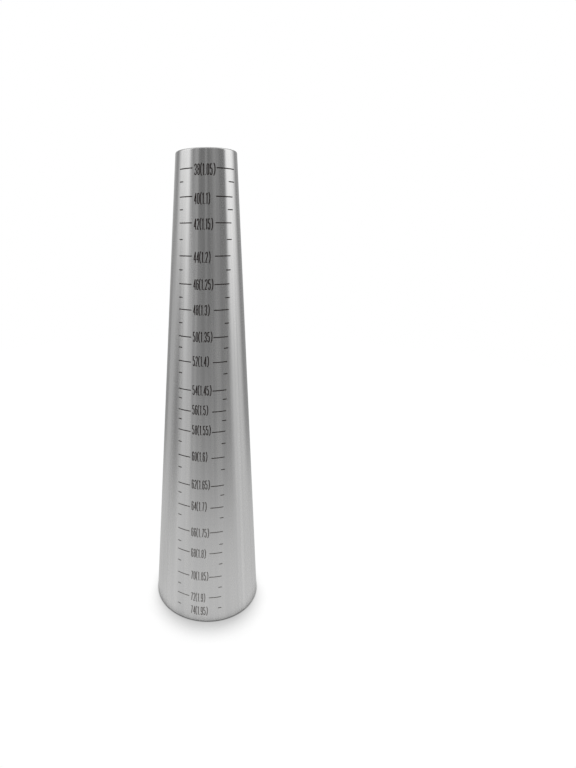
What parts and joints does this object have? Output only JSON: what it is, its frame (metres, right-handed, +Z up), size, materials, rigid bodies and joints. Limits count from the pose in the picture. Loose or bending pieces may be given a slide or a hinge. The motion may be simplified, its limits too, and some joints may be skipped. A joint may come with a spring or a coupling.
{
  "type": "bracelet mandrel",
  "caption": "Tall hollow steel taper for sizing and shaping bracelets, closed at the small end, with a foot ring inside and a blackened scale of diameters down its front.",
  "frame": {"origin": "middle of the foot, on the surface that the mandrel stands on", "axes": "+Z up the mandrel's axis, from the foot to the small end; the scale faces -Y, with +X to its right"},
  "size_m": [0.0742, 0.0742, 0.304],
  "materials": {
    "ground_steel": "turned and polished on the lathe to a satin shine",
    "turned_steel": "turned, with fine rings left by the tool",
    "weld_metal": "weld bead, ground flush at the small end and left rippled in the foot",
    "scale_black": "matt brown-black, worn a little lighter low down"
  },
  "bodies": {
    "root": {"taper_sleeve": "ground_steel", "end_plug": "turned_steel", "end_weld": "weld_metal", "foot_ring": "turned_steel", "foot_weld": "weld_metal", "long_marks_left": "scale_black", "long_marks_right": "scale_black", "short_marks_left": "scale_black", "short_marks_right": "scale_black", "size_numbers": "scale_black", "bracket_numbers": "scale_black"}
  },
  "joints": []
}
